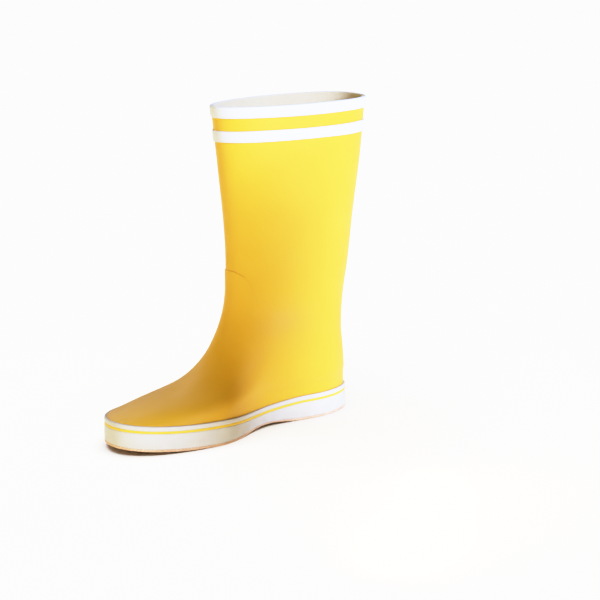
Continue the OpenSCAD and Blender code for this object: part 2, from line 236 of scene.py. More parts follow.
def turn_from_toe(a):
    """Degrees round from the toe, the same on both sides."""
    return np.degrees(np.abs((a + math.pi) % (2 * math.pi) - math.pi))


def seam(a):
    """Height of the vamp's edge, its corners rounded off."""
    table = np.array(SEAM, float)
    degrees = np.arange(-200, 200.5, 0.5)
    raw = np.interp(np.minimum(np.abs(degrees), 360 - np.abs(degrees)), table[:, 0], table[:, 1])
    kernel = np.exp(-0.5 * (np.arange(-20, 21) / 5.0) ** 2)
    soft = np.convolve(raw, kernel / kernel.sum(), "same")
    return np.interp(np.degrees(a), degrees, soft)


def tongue(a):
    """1 at the front of the vamp's edge, 0 at the sides."""
    return 1 - smooth((np.degrees(np.abs(a)) - 22) / 30)


# The model's origin is under the middle of the outline; the CAD pieces say where that is.
OUTLINE = on_wall(np.zeros(721), np.linspace(-math.pi, math.pi, 721), np.full(721, FOXING))
SOLE_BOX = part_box("outsole")
ORIGIN = np.array([
    OUTLINE[:, 0].max() - 1000 * SOLE_BOX[1][0],
    (OUTLINE[:, 1].max() + OUTLINE[:, 1].min()) / 2 - 500 * (SOLE_BOX[0][1] + SOLE_BOX[1][1]),
    0,
])


# ---------------------------------------------------------------- meshes

def quads(cols, rows, wrap_cols, wrap_rows):
    i = np.arange(cols if wrap_cols else cols - 1)
    j = np.arange(rows if wrap_rows else rows - 1)
    i, j = [g.ravel() for g in np.meshgrid(i, j, indexing="ij")]
    i2, j2 = (i + 1) % cols, (j + 1) % rows
    return i, j, np.stack([i * rows + j, i2 * rows + j, i2 * rows + j2, i * rows + j2], 1)


def loft(name, grid, wrap_cols=True, wrap_rows=True, wear=None):
    """A closed mesh over a grid of points, columns first. Open sides are capped.

    Each corner keeps its place on the unrolled surface in the attribute "weave", in metres,
    and each point how worn it is in "wear".
    """
    cols, rows = grid.shape[:2]
    i, j, faces = quads(cols, rows, wrap_cols, wrap_rows)
    faces = faces.tolist()
    count = len(faces)
    if not wrap_rows:
        faces.append([c * rows for c in reversed(range(cols))])
        faces.append([c * rows + rows - 1 for c in range(cols)])
    if not wrap_cols:
        faces.append(list(range(rows)))
        faces.append([(cols - 1) * rows + r for r in reversed(range(rows))])
    points = (grid.reshape(-1, 3) - ORIGIN) / 1000

    quad = np.array(faces[:count])
    p = points[quad]
    fans = np.cross(p[:, 1], p[:, 2]) + np.cross(p[:, 2], p[:, 3])
    flipped = np.einsum("ij,ij->i", p[:, 0], fans).sum() < 0
    if flipped:
        faces = [list(reversed(f)) for f in faces]

    mesh = bpy.data.meshes.new(name)
    mesh.from_pydata(points.tolist(), [], faces)
    mesh.shade_smooth()

    along = np.linalg.norm(np.diff(np.concatenate([grid, grid[:1]]), axis=0), axis=2).mean(1)
    over = np.linalg.norm(np.diff(np.concatenate([grid, grid[:, :1]], 1), axis=1), axis=2).mean(0)
    u = np.concatenate([[0], np.cumsum(along)]) / 1000
    v = np.concatenate([[0], np.cumsum(over)]) / 1000
    corner = np.zeros((len(mesh.loops), 3), np.float32)
    cu = np.stack([u[i], u[i + 1], u[i + 1], u[i]], 1)
    cv = np.stack([v[j], v[j], v[j + 1], v[j + 1]], 1)
    if flipped:
        cu, cv = cu[:, ::-1], cv[:, ::-1]
    corner[:4 * count, 0] = cu.ravel()
    corner[:4 * count, 1] = cv.ravel()
    mesh.attributes.new("weave", "FLOAT_VECTOR", "CORNER").data.foreach_set("vector", corner.ravel())
    worn = np.zeros((cols, rows), np.float32) if wear is None else wear.astype(np.float32)
    mesh.attributes.new("wear", "FLOAT", "POINT").data.foreach_set(
        "value", np.broadcast_to(worn, (cols, rows)).ravel())
    mesh.validate()
    obj = bpy.data.objects.new(name, mesh)
    bpy.context.scene.collection.objects.link(obj)
    return obj


def finish_piece(obj, material, slot, *nodes, body="boot"):
    obj.data.materials.append(material)
    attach(obj, body)
    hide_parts(*nodes)
    return obj


def profile(out, radius, rows, base=0.0, bulge=0.0, steps=5):
    """Cross-section of a strip: (share of its height, extra height, proud, wear) from the lower
    inner edge out and up to the upper inner edge, with round outer corners."""
    arc = np.linspace(0, math.pi / 2, steps)
    low = [(0, radius * (1 - math.cos(t)), out - radius * (1 - math.sin(t)), 1) for t in arc]
    high = [(1, -radius * (1 - math.cos(t)), out - radius * (1 - math.sin(t)), 1)
            for t in reversed(arc)]
    mids = [(s, mix(radius, -radius, s), out + bulge * 4 * s * (1 - s), 0)
            for s in np.linspace(0, 1, rows)[1:-1]]
    return [(0, 0, base, 0)] + low + mids + high + [(1, 0, base, 0)]


def strip(name, angles, low, high, shape, place):
    """A closed strip round the boot, between two heights given for every angle."""
    columns = [place(low + s * (high - low) + dz, angles, np.full_like(angles, proud))
               for s, dz, proud, _ in shape]
    wear = np.array([[w for *_, w in shape]])
    return loft(name, np.stack(columns, 1), wear=np.broadcast_to(wear, (len(angles), len(shape))))


# ---------------------------------------------------------------- the upper

def rows_between(low, high, count, ease=1.0):
    """Heights from low to high, closer together near low where ease is above 1."""
    return [low + (high - low) * t ** ease for t in np.linspace(0, 1, count)]


def make_leg():
    """The shaft's sheet: thinned under the vamp's edge, with its rim inside the cuff."""
    a = even_angles(300, 120)
    edge = seam(a)
    bottom = np.maximum(edge - SCARF, SOLE)
    rows, wear = [], []

    def add(z, proud, worn=0.0):
        rows.append(on_skin(z, a, np.broadcast_to(proud, a.shape)))
        wear.append(np.broadcast_to(worn, a.shape))

    top = TOP - 1.7
    for z in rows_between(bottom, np.full_like(a, top), 190, 1.15):
        add(z, -(RUBBER - 0.15) * np.clip((edge - z) / SCARF, 0, 1), 0)
    for t in np.linspace(0, math.pi, 9)[1:]:
        add(np.full_like(a, top + 0.8 * math.sin(t)), RUBBER / 2 * (math.cos(t) - 1), 1)
    for z in rows_between(np.full_like(a, top - 0.9), bottom, 60):
        add(z, -RUBBER)
    grid = np.stack(rows, 1)
    return loft("leg_rubber", grid, wear=np.stack(wear, 1))


def make_vamp():
    """The foot's sheet, whose edge stands proud on the instep and is thinned away below it."""
    limit = math.radians(122.5)
    a = even_angles(230, 40, -limit, limit)
    edge = np.maximum(seam(a), SOLE + 2.5)
    rows, wear = [], []

    def lap(z):
        return 0.09 + 0.7 * tongue(a) * smooth((z - edge + 30) / 30)

    def add(z, proud, worn=0.0):
        rows.append(on_skin(z, a, np.broadcast_to(proud, a.shape)))
        wear.append(np.broadcast_to(worn, a.shape))

    floor = np.full_like(a, SOLE)
    radius = np.minimum(lap(edge), 0.5)
    for z in rows_between(floor, edge - radius, 150, 1.25):
        add(z, lap(z))
    for t in np.linspace(0, math.pi / 2, 6)[1:]:
        back = radius * (1 - math.cos(t))
        add(edge - radius * (1 - math.sin(t)), lap(edge) - back, 0.35 * tongue(a))
    scarf = np.maximum(edge - SCARF, SOLE)
    for z in rows_between(edge, scarf, 8)[1:]:
        add(z, GLUE - (RUBBER - 0.2) * np.clip((edge - z) / SCARF, 0, 1))
    for z in rows_between(scarf, floor, 40)[1:]:
        add(z, -RUBBER)
    return loft("vamp_rubber", np.stack(rows, 1), wrap_cols=False, wear=np.stack(wear, 1))


def make_back_strip():
    """The strip over the back seam, thinner towards its edges."""
    half = math.radians(7.5)
    shares = np.linspace(-1, 1, 41)
    a = math.pi + half * shares
    heights = np.linspace(WELT - 2, STRIPE[0] + 1, 150)
    thick = 0.68 * (1 - np.abs(shares) ** 8) ** 0.5
    top = [on_skin(heights, np.full_like(heights, ang), np.full_like(heights, t + 0.02))
           for ang, t in zip(a, thick)]
    under = [on_skin(heights, np.full_like(heights, ang), np.full_like(heights, -0.1))
             for ang in reversed(a)]
    grid = np.stack(top + under, 0)
    worn = np.concatenate([np.abs(shares) ** 6, np.zeros(len(a))])[:, None]
    return loft("back_seam_strip", grid, wrap_rows=False,
                wear=np.broadcast_to(worn, grid.shape[:2]))


def wavy(a, phase):
    """The small waver of an edge that was cut and laid by hand."""
    return 0.16 * (np.sin(2 * a + phase) + 0.6 * np.sin(5 * a + 2 * phase))


def make_stripe():
    a = even_angles(300, 300)
    return strip("collar_stripe_rubber", a, STRIPE[0] + wavy(a, 0.3), STRIPE[1] + wavy(a, 1.3),
                 profile(BAND, 0.55, 11, base=-0.15, bulge=0.25), on_skin)


def make_cuff():
    """The top band, which is rolled over the rim of the boot."""
    a = even_angles(300, 300)
    steps = 5
    shape = profile(BAND, 0.55, 11, base=-0.15, bulge=0.25, steps=steps)[:-(steps + 1)]
    inner = -RUBBER - 0.08
    middle, reach = (BAND + inner) / 2, (BAND - inner) / 2
    for t in np.linspace(0, math.pi, 13):
        shape.append((1, 1.15 * math.sin(t) - 1.0, middle + reach * math.cos(t), 0.6))
    shape += [(1, -3.0, inner, 0), (1, -3.0, -0.15, 0)]
    return strip("collar_band_rubber", a, CUFF[0] + wavy(a, 1.7), np.full_like(a, CUFF[1] + 0.15),
                 shape, on_skin)


def make_badge():
    """A plain plate with a raised border, following the curve of the leg."""
    width, height, corner = 44.0, 20.5, 3.2
    middle_angle = math.radians(-97)
    middle_z = STRIPE[0] - 2 - height / 2
    around = np.linspace(0, 2 * math.pi, 97)[:-1]
    # A rounded rectangle, as the sum of a smaller rectangle and a circle
    c, n = np.cos(around), np.sin(around)
    cx = np.sign(c) * (width / 2 - corner) * np.minimum(np.abs(c) * 4, 1)
    cy = np.sign(n) * (height / 2 - corner) * np.minimum(np.abs(n) * 3, 1)
    ring = np.stack([cx + corner * c, cy + corner * n], 1)
    p = skin(np.full(2, middle_z), middle_angle + np.array([-0.02, 0.02]))
    per_mm = 0.04 / np.linalg.norm(p[1] - p[0])

    def level(inset, proud):
        """The plate's outline, shrunk by the inset and at a distance outside the leg's skin."""
        k = 1 - inset / np.array([width / 2, height / 2])
        q = ring * np.maximum(k, 0.01)
        z = middle_z + q[:, 1]
        a = middle_angle + q[:, 0] * per_mm
        return skin(z, a) + (proud + ripple(z, a))[:, None] * normal(z, a)

    # Inset and distance from the skin, from the middle of the face to the middle of the back
    steps = [(10, 0.95), (6, 0.95), (3, 0.95), (1.9, 0.95), (1.6, 1.0), (1.45, 1.35), (1.2, 1.5),
             (0.7, 1.52), (0.3, 1.42), (0.08, 1.2), (0, 0.9), (0, 0.3), (0.15, 0.12),
             (3, 0.1), (10, 0.1)]
    grid = np.stack([level(np.float64(i), np.full(len(ring), h)) for i, h in steps], 1)
    worn = np.array([[1.0 if 1.0 < h < 1.6 and i < 1.5 else 0.0 for i, h in steps]])
    return loft("badge_plate", grid, wrap_rows=False,
                wear=np.broadcast_to(worn, grid.shape[:2]))


# ---------------------------------------------------------------- the foxing

# Heights of the trim and of the yellow line, and the distance from one rib of the tread to the next
TRIM_H = 4.5
LINE_H = 2.5
TREAD_PITCH = 3.6


def sole_low(x):
    return lift(x) + hump(x, *ARCH)


def edge_top(x):
    """Top of the outsole's edge, where the foxing starts."""
    return lift(x) + SOLE_EDGE + EDGE_RISE * hump(x, *ARCH)


def foxing_level(x, z):
    """Height of a line that is z high on the foxing at the heel, and dips at the waist."""
    return lift(x) + z - hump(x, *DIP)


def make_foxing():
    """The wide band, the yellow line and the trim round the wall of the sole."""
    a = even_angles(420, 5)
    x = skin(np.full_like(a, SOLE), a)[:, 0]
    line_low = foxing_level(x, WELT - TRIM_H - LINE_H)
    line_high = foxing_level(x, WELT - TRIM_H)
    band = strip("foxing_band_rubber", a, edge_top(x) + GLUE, line_low,
                 profile(FOXING, 0.5, 12, base=-0.1, bulge=0.22), on_wall)
    line = strip("foxing_line_rubber", a, line_low, line_high,
                 profile(FOXING - 0.12, 0.3, 4, base=-0.1, bulge=0.05), on_wall)
    trim = strip("foxing_trim_rubber", a, line_high, foxing_level(x, WELT) + wavy(a, 0.4) * 0.6,
                 profile(FOXING, 0.65, 6, base=-0.1, bulge=0.08), on_wall)
    return band, line, trim


def tread(q):
    """How far the underside is cut in: fine zigzag grooves, every second one deeper."""
    zigzag = np.abs((q[:, 1] / 11) % 2 - 1)
    turn = 2 * math.pi * (q[:, 0] + 3.5 * zigzag) / TREAD_PITCH
    fine = smooth((np.cos(turn) - 0.25) / 0.5)
    deep = smooth((np.cos(turn / 2) - 0.8) / 0.15)
    return 0.45 * fine + 0.6 * deep


def make_outsole():
    """The crepe sole: a zigzag tread below, and a finely ribbed edge under the foxing."""
    a = even_angles(1500, 5)
    flat = np.full_like(a, SOLE)

    def ring(proud):
        return on_wall(flat, a, np.broadcast_to(proud, a.shape))[:, :2]

    edge = ring(FOXING - 0.5)
    centre = middle_line(edge)
    run = np.concatenate([[0], np.cumsum(np.linalg.norm(np.diff(edge, axis=0), axis=1))])
    ribs = round(run[-1] / TREAD_PITCH)
    rib = 0.5 + 0.5 * np.cos(2 * math.pi * ribs * np.arange(len(a)) / len(a))
    rows = []

    def add(q, z):
        rows.append(np.concatenate([q, z[:, None]], 1))

    for s in np.linspace(0.004, 1, 44):
        q = centre + s * (edge - centre)
        fade = smooth(s / 0.07) * smooth((1 - s) / 0.07)
        add(q, sole_low(q[:, 0]) + tread(q) * fade)
    for share, proud, cut in ((0.1, -0.08, 0.5), (0.25, 0.1, 0.5), (0.5, 0.15, 0.45),
                              (0.75, 0.12, 0.35), (0.92, 0.0, 0.15), (1.0, -0.3, 0.0)):
        q = ring(FOXING + proud - cut * rib)
        add(q, mix(sole_low(q[:, 0]), edge_top(q[:, 0]), share))
    inner = ring(-0.1)
    add(inner, edge_top(inner[:, 0]))
    add(inner, lift(inner[:, 0]) + SOLE - GLUE)
    for s in np.linspace(0.95, 0.004, 8):
        q = centre + s * (inner - centre)
        add(q, lift(q[:, 0]) + SOLE - GLUE)
    return loft("outsole_crepe", np.stack(rows, 1), wrap_rows=False)


# ---------------------------------------------------------------- inside

FILLER_TOP = 8.0
WEDGE_RISE = 8.0
WEDGE_REACH = 0.4
BOARD = 2.0
PAD_INSET = 7.6


def board_top(x):
    """Top of the insole board: level in front, and raised by the wedge under the heel."""
    wedge = WEDGE_RISE * (1 - smooth(x / FOOT / WEDGE_REACH))
    return lift(x) + FILLER_TOP + wedge + BOARD


def lining_edge(a):
    """Where the foot's lining meets the leg's: along the vamp's edge, but above the heel."""
    turn = np.degrees(np.abs(a))
    above_heel = 50 + 35 * smooth((turn - 112) / 60)
    return np.where(turn > 95, np.maximum(seam(a), above_heel), seam(a))


def backing(z, a):
    """How much the stiffeners at the toe and heel push the lining in."""
    turn = turn_from_toe(a)
    heel = smooth((turn - 108) / 12) * (1 - smooth((z - 56) / 10))
    toe = (1 - smooth((turn - 52) / 10)) * (1 - smooth((z - 34) / 8))
    return BACKING * np.maximum(heel, toe)


def middle_line(p, keep_heel=32.0, keep_toe=42.0):
    """The nearest points on the line down the middle of the foot."""
    x = np.clip(p[:, 0], p[:, 0].min() + keep_heel, p[:, 0].max() - keep_toe)
    order = np.argsort(p[:, 0])
    inner_side = p[order, 1] > np.interp(p[order, 0], [0, FOOT], [0, 4])
    upper, lower = order[inner_side], order[~inner_side]
    y = (np.interp(x, p[upper, 0], p[upper, 1]) + np.interp(x, p[lower, 0], p[lower, 1])) / 2
    return np.stack([x, y], 1)


def make_foot_lining():
    """The sock lining: a floor on the board, turned up all round into the foot's wall."""
    a = even_angles(240, 40)
    edge = lining_edge(a)

    def inner_face(z):
        return -(RUBBER + LINING) - backing(z, a)

    floor = np.full_like(a, SOLE)
    foot = on_wall(floor, a, inner_face(floor + 20))
    centre = middle_line(foot)
    rows = []

    def add_floor_row(s, thick):
        q = centre + s * (foot[:, :2] - centre)
        rows.append(np.concatenate([q, (board_top(q[:, 0]) + GLUE + thick)[:, None]], 1))

    for s in np.linspace(0.04, 1, 24):
        add_floor_row(s, LINING + 1.6 * smooth((s - 0.9) / 0.1) ** 2)
    start = board_top(foot[:, 0]) + GLUE + LINING + 2.2 - lift(foot[:, 0])
    for z in rows_between(start, edge - 0.4, 60, 1.1):
        rows.append(on_skin(z, a, inner_face(z)))
    for t in np.linspace(0, math.pi, 6)[1:]:
        rows.append(on_skin(edge - 0.4 + 0.5 * math.sin(t), a,
                            inner_face(edge) + LINING / 2 * (1 - math.cos(t))))
    for z in rows_between(edge - 0.5, start, 20):
        rows.append(on_skin(z, a, inner_face(z) + LINING))
    for s in np.linspace(1, 0.04, 8):
        add_floor_row(s, 0)
    return loft("foot_lining_knit", np.stack(rows, 1), wrap_rows=False)


def make_leg_lining():
    """The shaft's lining, with a soft edge just below the cuff's roll."""
    a = even_angles(300, 120)
    edge = lining_edge(a) + 0.2
    top = np.full_like(a, TOP - 0.9)
    rows, wear = [], []
    for z in rows_between(edge, top, 130):
        rows.append(on_skin(z, a, -(RUBBER + LINING) - backing(z, a)))
        wear.append(np.zeros_like(a))
    for t in np.linspace(0, math.pi, 7)[1:]:
        rows.append(on_skin(top + 0.6 * math.sin(t), a,
                            np.full_like(a, -RUBBER - 0.03 - LINING / 2 * (1 + math.cos(t)))))
        wear.append(np.ones_like(a))
    for z in rows_between(top - 1, edge, 40):
        rows.append(on_skin(z, a, -RUBBER - 0.03 - backing(z, a)))
        wear.append(np.zeros_like(a))
    return loft("leg_lining_knit", np.stack(rows, 1), wear=np.stack(wear, 1))


def make_footbed():
    """The loose footbed: a soft pad with a rounded edge, a cupped heel and an arch."""
    a = even_angles(260, 5)
    flat = np.full_like(a, SOLE)
    rim = on_wall(flat, a, np.full_like(a, -RUBBER - PAD_INSET))[:, :2]
    centre = middle_line(rim, 30, 40)
    reach = np.linalg.norm(rim - centre, axis=1)
    shape = []
    for s in np.linspace(0.03, 0.93, 22):
        shape.append((s, 3.7 + 0.35 * smooth((s - 0.4) / 0.5), 0))
    for t in np.linspace(0, math.pi, 9):
        shape.append((1.0, 2.05 + 1.9 * math.cos(t), 1.7 * (1 - math.sin(t))))
    for s in np.linspace(0.93, 0.03, 8):
        shape.append((s, 0.1, 0))
    rows = []
    for s, up, inset in shape:
        k = (s - inset / reach)[:, None]
        q = centre + k * (rim - centre)
        low = board_top(q[:, 0]) + GLUE + LINING + 0.5
        rows.append(np.concatenate([q, (low + up)[:, None]], 1))
    worn = np.array([[1.0 if s == 1.0 else 0.0 for s, *_ in shape]])
    grid = np.stack(rows, 1)
    return loft("footbed_pad", grid, wrap_rows=False, wear=np.broadcast_to(worn, grid.shape[:2]))


# ---------------------------------------------------------------- materials

class Nodes:
    """Makes a node material, one short call for each node."""

    def __init__(self, name):
        self.material = bpy.data.materials.new(name)
        self.material.use_nodes = True
        self.tree = self.material.node_tree
        self.shader = self.tree.nodes["Principled BSDF"]
        self.place = self.add("ShaderNodeTexCoord").outputs["Object"]

    def add(self, kind, **values):
        node = self.tree.nodes.new(kind)
        for key, value in values.items():
            setattr(node, key, value)
        return node

    def link(self, source, socket):
        if hasattr(source, "is_output"):
            self.tree.links.new(source, socket)
        else:
            socket.default_value = source

    def attribute(self, name, output="Fac"):
        return self.add("ShaderNodeAttribute", attribute_name=name).outputs[output]

    def stretch(self, vector, scale):
        node = self.add("ShaderNodeMapping")
        self.link(vector, node.inputs["Vector"])
        node.inputs["Scale"].default_value = scale
        return node.outputs["Vector"]

    def noise(self, scale, detail=3.0, rough=0.55, vector=None, distortion=0.0):
        node = self.add("ShaderNodeTexNoise")
        self.link(vector or self.place, node.inputs["Vector"])
        node.inputs["Scale"].default_value = scale
        node.inputs["Detail"].default_value = detail
        node.inputs["Roughness"].default_value = rough
        node.inputs["Distortion"].default_value = distortion
        return node.outputs["Fac"]

    def cells(self, scale, vector=None, feature="F1"):
        node = self.add("ShaderNodeTexVoronoi", feature=feature)
        self.link(vector or self.place, node.inputs["Vector"])
        node.inputs["Scale"].default_value = scale
        return node.outputs["Distance"]

    def math(self, operation, a, b=0.0, clamp=False):
        node = self.add("ShaderNodeMath", operation=operation, use_clamp=clamp)
        self.link(a, node.inputs[0])
        self.link(b, node.inputs[1])
        return node.outputs[0]

    def range(self, value, low, high, to_low=0.0, to_high=1.0):
        node = self.add("ShaderNodeMapRange", interpolation_type="SMOOTHSTEP")
        for socket, number in zip(("Value", "From Min", "From Max", "To Min", "To Max"),
                                  (value, low, high, to_low, to_high)):
            self.link(number, node.inputs[socket])
        return node.outputs[0]

    def blend(self, amount, a, b):
        node = self.add("ShaderNodeMix", data_type="RGBA")
        self.link(amount, node.inputs["Factor"])
        self.link(a if hasattr(a, "is_output") else (*a, 1), node.inputs[6])
        self.link(b if hasattr(b, "is_output") else (*b, 1), node.inputs[7])
        return node.outputs[2]

    def bump(self, height, distance, strength=1.0, over=None):
        node = self.add("ShaderNodeBump")
        node.inputs["Strength"].default_value = strength
        node.inputs["Distance"].default_value = distance
        self.link(height, node.inputs["Height"])
        if over is not None:
            self.link(over, node.inputs["Normal"])
        return node.outputs["Normal"]

    def finish(self, color, roughness, normal=None, **constants):
        self.link(color, self.shader.inputs["Base Color"])
        self.link(roughness, self.shader.inputs["Roughness"])
        if normal is not None:
            self.link(normal, self.shader.inputs["Normal"])
        for key, value in constants.items():
            self.shader.inputs[key.replace("_", " ")].default_value = value
        return self.material


def rubber(name, base, deep, worn, rough=0.5, spec=0.42, sheen=0.0, grain=0.00005, floor_shade=None):
    """Satin rubber: faint mottling, a fine grain, bloom in patches, scuffed edges, and painted shade
    towards the floor where asked.
    """
    n = Nodes(name)
    wide = n.noise(16, 2)
    patch = n.noise(75, 4, 0.6)
    speck = n.cells(900)
    color = n.blend(n.range(wide, 0.3, 0.7, 0.0, 0.55), base, deep)
    color = n.blend(n.range(patch, 0.55, 0.8, 0.0, 0.28), color, deep)
    dust = n.math("MULTIPLY", n.range(speck, 0.0, 0.22, 1.0, 0.0),
                  n.range(patch, 0.45, 0.7, 0.0, 0.35))
    color = n.blend(dust, color, worn)
    scuffs = n.range(n.noise(240, 5, 0.7), 0.5, 0.72)
    edges = n.math("MULTIPLY", n.attribute("wear"),
                   n.math("ADD", n.math("MULTIPLY", scuffs, 0.35), 0.1))
    color = n.blend(edges, color, worn)
    # Painted shade: darker and browner towards the floor, in uneven smudges, between the two heights
    # given in metres
    if floor_shade:
        floor_shade_color, low, high = floor_shade
        height = n.add("ShaderNodeSeparateXYZ")
        n.link(n.place, height.inputs[0])
        near = n.range(height.outputs[2], low, high, 1.0, 0.0)
        floor_shade_amount = n.math("MULTIPLY", near, n.range(n.noise(70, 4, 0.6), 0.35, 0.75, 0.05, 0.3))
        color = n.blend(floor_shade_amount, color, floor_shade_color)
    roughness = n.math("ADD", n.range(patch, 0.3, 0.75, rough - 0.05, rough + 0.07),
                       n.math("MULTIPLY", edges, 0.3))
    soft = n.bump(n.noise(55, 2), 0.00022)
    peel = n.bump(n.noise(1100, 3, 0.6), grain, over=soft)
    return n.finish(color, roughness, peel, Specular_IOR_Level=spec, Sheen_Weight=sheen,
                    Sheen_Roughness=0.6)


def crepe(name):
    """Tan crepe rubber: cloudy and coarse, with painted shade in the pits between its crumbs and
    darker patches at random.
    """
    n = Nodes(name)
    cloud = n.noise(90, 5, 0.65)
    crumbs = n.cells(520)
    color = n.blend(n.range(cloud, 0.3, 0.7), (0.66, 0.40, 0.20), (0.80, 0.54, 0.31))
    # Painted shade: darker at the bottom of each pit, where the bump dips
    color = n.blend(n.range(crumbs, 0.05, 0.4, 0.4, 0.0), color, (0.50, 0.28, 0.14))
    color = n.blend(n.range(n.noise(300, 5, 0.7), 0.6, 0.85, 0.0, 0.3), color, (0.38, 0.27, 0.18))
    normal = n.bump(crumbs, 0.0003, 0.7, over=n.bump(cloud, 0.0005, 0.7))
    return n.finish(color, n.range(cloud, 0.2, 0.8, 0.62, 0.8), normal)


def knit(name, base, deep, stitch=0.0016):
    """Jersey knit: rows of small V-shaped stitches, in metres on the unrolled cloth."""
    n = Nodes(name)
    split = n.add("ShaderNodeSeparateXYZ")
    n.link(n.attribute("weave", "Vector"), split.inputs[0])
    across = n.math("FRACT", n.math("MULTIPLY", split.outputs[0], 1 / stitch))
    fold = n.math("ABSOLUTE", n.math("SUBTRACT", n.math("MULTIPLY", across, 2.0), 1.0))
    along = n.math("ADD", n.math("MULTIPLY", split.outputs[1], 1 / (stitch * 0.8)),
                   n.math("MULTIPLY", fold, 0.7))
    loops = n.range(n.math("SINE", n.math("MULTIPLY", along, 2 * math.pi)), -1, 1)
    wales = n.math("SUBTRACT", 1.0, n.math("POWER", fold, 3.0))
    height = n.math("MULTIPLY", loops, wales)
    fuzz = n.noise(1500, 4, 0.7)
    # Painted shade: darker in the hollows between the loops, where the bump is low
    shade = n.blend(n.range(height, 0.0, 0.8, 0.55, 0.0), base, deep)
    shade = n.blend(n.range(n.noise(25, 3), 0.35, 0.7, 0.0, 0.3), shade, deep)
    normal = n.bump(fuzz, 0.0001, 0.6, over=n.bump(height, 0.0003, 0.8))
    return n.finish(shade, n.range(fuzz, 0.3, 0.7, 0.8, 0.95), normal,
                    Specular_IOR_Level=0.2, Sheen_Weight=0.3, Sheen_Roughness=0.5)


def plain_inner(name, light, dark, scale, rough, bump_depth, metal=0.0):
    """A sealed inner material, such as board, foam or steel."""
    n = Nodes(name)
    grain = n.noise(scale, 5, 0.65)
    fibre = n.noise(scale * 2, 3, 0.6, vector=n.stretch(n.place, (0.2, 1, 1)))
    color = n.blend(n.range(grain, 0.3, 0.7), light, dark)
    normal = n.bump(fibre, bump_depth)
    return n.finish(color, n.range(fibre, 0.3, 0.7, rough - 0.08, rough + 0.08), normal,
                    Metallic=metal)


def footbed_cloth(name):
    """Brushed cloth pressed with small dimples, over foam at its edge."""
    n = Nodes(name)
    split = n.add("ShaderNodeVectorMath", operation="MULTIPLY")
    n.link(n.place, split.inputs[0])
    split.inputs[1].default_value = (1, 1, 0)
    dimples = n.cells(190, vector=split.outputs[0])
    fuzz = n.noise(1800, 4, 0.7)
    color = n.blend(n.range(fuzz, 0.3, 0.7), (0.46, 0.40, 0.33), (0.62, 0.55, 0.46))
    # Painted shade: darker in the hollow of each dimple
    color = n.blend(n.range(dimples, 0.1, 0.35, 0.45, 0.0), color, (0.33, 0.28, 0.23))
    color = n.blend(n.math("MULTIPLY", n.attribute("wear"), 0.85), color, (0.70, 0.66, 0.58))
    normal = n.bump(n.range(dimples, 0.0, 0.4), 0.0005, 0.8, over=n.bump(fuzz, 0.00012, 0.7))
    return n.finish(color, n.range(fuzz, 0.3, 0.7, 0.82, 0.95), normal,
                    Specular_IOR_Level=0.2, Sheen_Weight=0.25, Sheen_Roughness=0.5)


# ---------------------------------------------------------------- light and floor

LOOK = CAMERA_LOOKS.normalized()
UP = Vector((0, 0, 1))
RIGHT = LOOK.cross(UP).normalized()
AWAY = Vector((LOOK.x, LOOK.y, 0)).normalized()
MIDDLE = Vector((-0.04, 0, 0.17))

# Where the left boot of the pair stands, in metres, and how far it is turned, in degrees
SECOND_BOOT_AT = (0.0243, 0.3154, 0)
SECOND_BOOT_TURN = 43.3


def towards(azimuth, elevation):
    """Direction from the boot: azimuth 0 is to the camera and 90 is to its right."""
    a, e = math.radians(azimuth), math.radians(elevation)
    return (-AWAY * math.cos(a) + RIGHT * math.sin(a)) * math.cos(e) + UP * math.sin(e)


def listed(name, objects, state):
    """A collection for light linking, with the same state for each object in it."""
    group = bpy.data.collections.new(name)
    for obj in objects:
        group.objects.link(obj)
    for entry in group.collection_objects:
        entry.light_linking.link_state = state
    return group


def lamp(name, kind, direction, level, color=(1, 1, 1), distance=0.0):
    """A light whose level is how bright it makes white paper that faces it at the boot."""
    data = bpy.data.lights.new(name, kind)
    data.color = color
    data.energy = level * math.pi * (math.pi * distance ** 2 if kind == "AREA" else 1)
    light = bpy.data.objects.new(name, data)
    light.location = MIDDLE + direction * max(distance, 1)
    light.rotation_euler = (-direction).to_track_quat("-Z", "Y").to_euler()
    bpy.context.scene.collection.objects.link(light)
    return light


def panel(name, azimuth, elevation, distance, size, level, color=(1, 1, 1)):
    light = lamp(name, "AREA", towards(azimuth, elevation), level, color, distance)
    light.data.shape = "RECTANGLE"
    light.data.size, light.data.size_y = size
    return light


def add_floor():
    """A wide sheet of white paper, which is the backdrop as well."""
    line = np.linspace(-30, 30, 25)
    points = [(x, y, 0) for x in line for y in line]
    across = len(line)
    faces = [(i * across + j, (i + 1) * across + j, (i + 1) * across + j + 1, i * across + j + 1)
             for i in range(across - 1) for j in range(across - 1)]
    mesh = bpy.data.meshes.new("floor")
    mesh.from_pydata(points, [], faces)
    floor = bpy.data.objects.new("floor", mesh)
    bpy.context.scene.collection.objects.link(floor)
    n = Nodes("floor_paper")
    color = n.blend(n.range(n.noise(3, 2), 0.3, 0.7), (0.84, 0.84, 0.84), (0.86, 0.86, 0.86))
    mesh.materials.append(n.finish(color, n.range(n.noise(40, 3), 0.3, 0.7, 0.85, 0.95)))
    return floor


def add_second_boot(material):
    """What the left boot of the pair does to the light. The camera doesn't see it."""
    a = even_angles(64, 40)
    rows = [on_skin(z, a, np.zeros_like(a)) for z in rows_between(a * 0 + SOLE, a * 0 + TOP, 40)]
    shade = loft("second_boot_shade", np.stack(rows, 1), wrap_rows=False)
    shade.data.materials.append(material)
    shade.scale = (1, -1, 1)
    shade.location = SECOND_BOOT_AT
    shade.rotation_euler = (0, 0, math.radians(SECOND_BOOT_TURN))
    shade.visible_camera = False
    return shade


